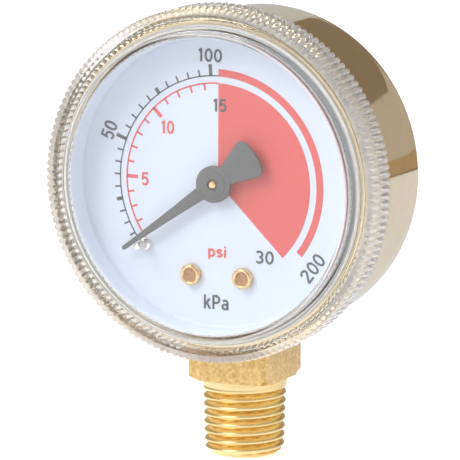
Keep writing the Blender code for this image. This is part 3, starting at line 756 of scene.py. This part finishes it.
def make_socket():
    shape = bmesh.new()
    low, high, sharp = BLOCK_LOW, BLOCK_HIGH, SQUARE * math.sqrt(2) - 0.12
    levels = [(low, 8.5), (low + 0.06, 8.62), (low + 0.75, sharp), (high - 0.12, sharp), (high, sharp - 0.15)]
    bridge(shape, [square_ring(shape, SQUARE, corner, height) for height, corner in levels])
    neck_top, overlap = 23.0, 0.2
    for lowest, highest in (((-NECK, -NECK, high - 0.3), (NECK, NECK, neck_top)),
                            ((-NECK, -1.4, neck_top - overlap), (NECK, 9.1, SOCKET_TOP))):
        lowest, highest = Vector(lowest), Vector(highest)
        cube = bmesh.ops.create_cube(shape, size=1)["verts"]
        bmesh.ops.scale(shape, vec=(highest - lowest) * MM, verts=cube)
        bmesh.ops.translate(shape, vec=(highest + lowest) / 2 * MM, verts=cube)
    piece("socket_body", shape, "socket_brass", "housing", ["socket"], 25)


def thread_radius(height, turn):
    """Tapered pipe thread with rounded crests; above it a plain neck, below it a chamfer."""
    pitch, depth, crest, plain_from, run_out = 1.411, 0.88, 6.858, 10.6, 0.9
    phase = (height / pitch - turn / (2 * math.pi)) % 1.0
    groove = depth * (1 - abs(math.cos(math.pi * phase)) ** 0.9)
    fade = min(1.0, max(0.0, (plain_from + run_out - height) / run_out))
    return min(crest - (BLOCK_LOW - height) / 32 - groove * fade, crest - 1.55 + height * 1.15)


def make_thread():
    shape = bmesh.new()
    steps, count, bore, bore_depth, rings = 144, 140, 2.05, 6.0, []
    turns = [2 * math.pi * step / steps for step in range(steps)]

    def ring(reach, height):
        rings.append([shape.verts.new(about_stem(reach(turn) * math.cos(turn), reach(turn) * math.sin(turn),
                                                 height)) for turn in turns])
    for radius, height in ((bore, bore_depth), (bore, 0.25), (bore + 0.25, 0.0)):
        ring(lambda turn: radius, height)
    for level in range(count + 1):
        height = (BLOCK_LOW + 0.6) * level / count
        ring(lambda turn: thread_radius(height, turn), height)
    bridge(shape, rings)
    thread = piece("pipe_thread", shape, "turned_brass", "housing", (), 40)
    thread.data.materials.append(LOOKS["neck_brass"])
    cut_from, cut_to = 0.7, 11.1
    for face in thread.data.polygons:
        if not cut_from < face.center.z / MM < cut_to:
            face.material_index = 1


# What the back shows, and the inner parts

def make_relief_plug():
    low, high = node_box("relief_plug")
    up = (low.z + high.z) / 2 - DIAL_UP
    back, flange = -high.y, (high.x - low.x) / 2
    shape = bmesh.new()
    hole = 2.75
    profile = rounded([(0, back + 0.25), (flange - 1.4, back + 0.2, 0.2), (flange - 0.9, back, 0.25),
                       (flange, back + 0.1, 0.35), (flange, CASE_BACK - 0.12, 0.1), (hole, CASE_BACK - 0.12),
                       (hole, CASE_BACK + 0.85), (3.3, CASE_BACK + 0.9, 0.1), (3.2, CASE_BACK + 1.6, 0.2),
                       (0, CASE_BACK + 1.7)], 4)
    lathe(shape, profile, offset(about_dial, 0, up), 72)
    piece("relief_plug_moulding", shape, "plug_rubber", "housing", ["relief_plug"], 40)


def make_tube():
    """The coiled tube, from the housing to the tube's tip, as one mesh tied to no body."""
    shape, rings = bmesh.new(), []
    low, high = node_box("bourdon_tube")
    middle, half_wide, half_thick = -(low.y + high.y) / 2, (high.y - low.y) / 2, 1.1
    reach = high.x - half_thick
    start, sweep, steps, corners = 249, 274, 160, 20
    for step in range(steps + 1):
        x, up = polar(start - sweep * step / steps, 1)
        ring = []
        for corner in range(corners):
            turn = 2 * math.pi * corner / corners
            wide = half_wide * math.copysign(abs(math.sin(turn)) ** 0.6, math.sin(turn))
            away = reach + half_thick * math.cos(turn)
            ring.append(shape.verts.new(about_dial(x * away, up * away, middle + wide)))
        rings.append(ring)
    bridge(shape, rings)
    made = piece("tube_coil", shape, "spring_bronze", "", ["bourdon_tube"], 50)
    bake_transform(made)


def dress_inner_nodes():
    """CAD nodes that stay: each gets its procedural material and smooth shading."""
    looks = {"brass": "inner_brass", "steel": "steel", "spring_bronze": "spring_bronze", "nickel": "nickel",
             "polished_brass": "polished_brass", "seal_rubber": "seal_rubber", "black_rubber": "plug_rubber",
             "black_paint": "pointer_paint", "white_paint": "dial_enamel", "clear_plastic": "clear_plastic"}
    slots = {part["node"]: part["material_slot"] for part in frame["record"]["subparts"]}
    for node, item in frame["nodes"].items():
        look = LOOKS["plated_brass" if node == "pinion" else looks[slots[node]]]
        if not item.material_slots:
            item.data.materials.append(look)
        for material_slot in item.material_slots:
            material_slot.material = look
        item.data.shade_smooth()
        item.data.set_sharp_from_angle(angle=math.radians(30))


# Stage: pale floor, soft studio light and plain cards for the metal to mirror

def staged(name, mesh_or_light):
    item = bpy.data.objects.new(name, mesh_or_light)
    bpy.context.scene.collection.objects.link(item)
    return item


def make_floor():
    shape = bmesh.new()
    bmesh.ops.create_grid(shape, x_segments=2, y_segments=2, size=6)
    mesh = bpy.data.meshes.new("floor")
    shape.to_mesh(mesh)
    shape.free()
    floor_look = Surface("pale_floor", (0.94, 0.94, 0.94), 0.8)
    floor_look.shader.inputs["Emission Color"].default_value = (1, 1, 1, 1)
    floor_look.shader.inputs["Emission Strength"].default_value = 0.55
    mesh.materials.append(floor_look.material)
    floor = staged("floor", mesh)
    floor.location.z = -0.0002


def look_at(item, target):
    item.rotation_euler = (Vector(target) - item.location).to_track_quat("-Z", "Y").to_euler()


def area_light(name, place, size, power):
    lamp = bpy.data.lights.new(name, "AREA")
    lamp.shape, lamp.size, lamp.size_y = "RECTANGLE", size[0], size[1]
    lamp.energy = power
    item = staged(name, lamp)
    item.location = place
    look_at(item, (0, 0, DIAL_UP * MM))


def card(name, low, high, glow):
    """A plain upright or flat card between two corners, seen only in mirrors; glow is its brightness."""
    shape = bmesh.new()
    low, high = Vector(low), Vector(high)
    flat = low.z == high.z
    corners = [low, (high.x, low.y, low.z), high, (low.x, high.y, high.z)] if flat else \
        [low, (high.x, high.y, low.z), high, (low.x, low.y, high.z)]
    shape.faces.new([shape.verts.new(Vector(corner)) for corner in corners])
    mesh = bpy.data.meshes.new(name)
    shape.to_mesh(mesh)
    shape.free()
    look = Surface(name, (0, 0, 0), 1.0)
    look.shader.inputs["Specular IOR Level"].default_value = 0
    look.shader.inputs["Emission Color"].default_value = (*glow, 1)
    look.shader.inputs["Emission Strength"].default_value = 1
    mesh.materials.append(look.material)
    item = staged(name, mesh)
    for ray in ("camera", "shadow", "diffuse", "transmission"):
        setattr(item, "visible_" + ray, False)


def make_stage():
    make_floor()
    world = bpy.data.worlds.new("studio")
    world.use_nodes = True
    world.node_tree.nodes["Background"].inputs["Color"].default_value = (0.93, 0.96, 1.0, 1)
    world.node_tree.nodes["Background"].inputs["Strength"].default_value = 0.58
    bpy.context.scene.world = world
    area_light("key_light", (-0.55, -0.9, 0.85), (0.6, 0.6), 6.4)
    area_light("rim_light", (-0.7, 0.7, 0.6), (0.5, 0.8), 1.6)
    card("card_high", (-0.29, 1.2, 0.42), (0.75, 1.2, 1.1), (0.25, 0.20, 0.145))
    card("card_middle", (-0.34, 1.25, 0.0), (1.4, 1.25, 0.46), (0.48, 0.44, 0.41))
    card("card_low", (0.06, 0.2, 0.0225), (0.17, 0.2, 0.043), (0.42, 0.30, 0.20))
    card("card_line", (0.06, 0.2, 0.0208), (0.17, 0.2, 0.0225), (0.12, 0.08, 0.05))
    card("card_left", (-0.9, -0.6, 0.0), (-0.7, 0.9, 0.7), (0.42, 0.39, 0.34))
    card("card_floor", (-2.5, 0.06, 0.0004), (2.5, 1.3, 0.0004), (0.76, 0.76, 0.84))
    card("card_floor_front", (-2.5, -2.5, 0.0004), (2.5, -0.06, 0.0004), (0.90, 0.88, 0.84))


def make_camera():
    azimuth, elevation, roll = 0.4241, 0.1724, 0.0044
    distance, target, lens = 1.0, Vector((-0.002773, 0, 0.03638)), 481.4
    camera = bpy.data.cameras.new("camera")
    camera.lens, camera.sensor_width = lens, 36
    camera.clip_start, camera.clip_end = 0.05, 30
    item = staged("camera", camera)
    flat = math.cos(elevation)
    back = Vector((math.sin(azimuth) * flat, -math.cos(azimuth) * flat, math.sin(elevation)))
    level = Vector((math.cos(azimuth), math.sin(azimuth), 0))
    upright = back.cross(level)
    right = level * math.cos(roll) + upright * math.sin(roll)
    up = back.cross(right)
    place = target + back * distance
    item.matrix_world = Matrix((
        (right.x, up.x, back.x, place.x), (right.y, up.y, back.y, place.y),
        (right.z, up.z, back.z, place.z), (0, 0, 0, 1)))
    bpy.context.scene.camera = item
    bpy.context.scene.view_settings.view_transform = "Standard"


dress_inner_nodes()
for make in (make_case, make_case_thread, make_lens, make_gasket, make_dial, make_scales, make_numerals,
             make_pointer, make_stop_pin, make_dial_screws, make_socket, make_thread, make_relief_plug,
             make_tube, make_stage, make_camera):
    make()
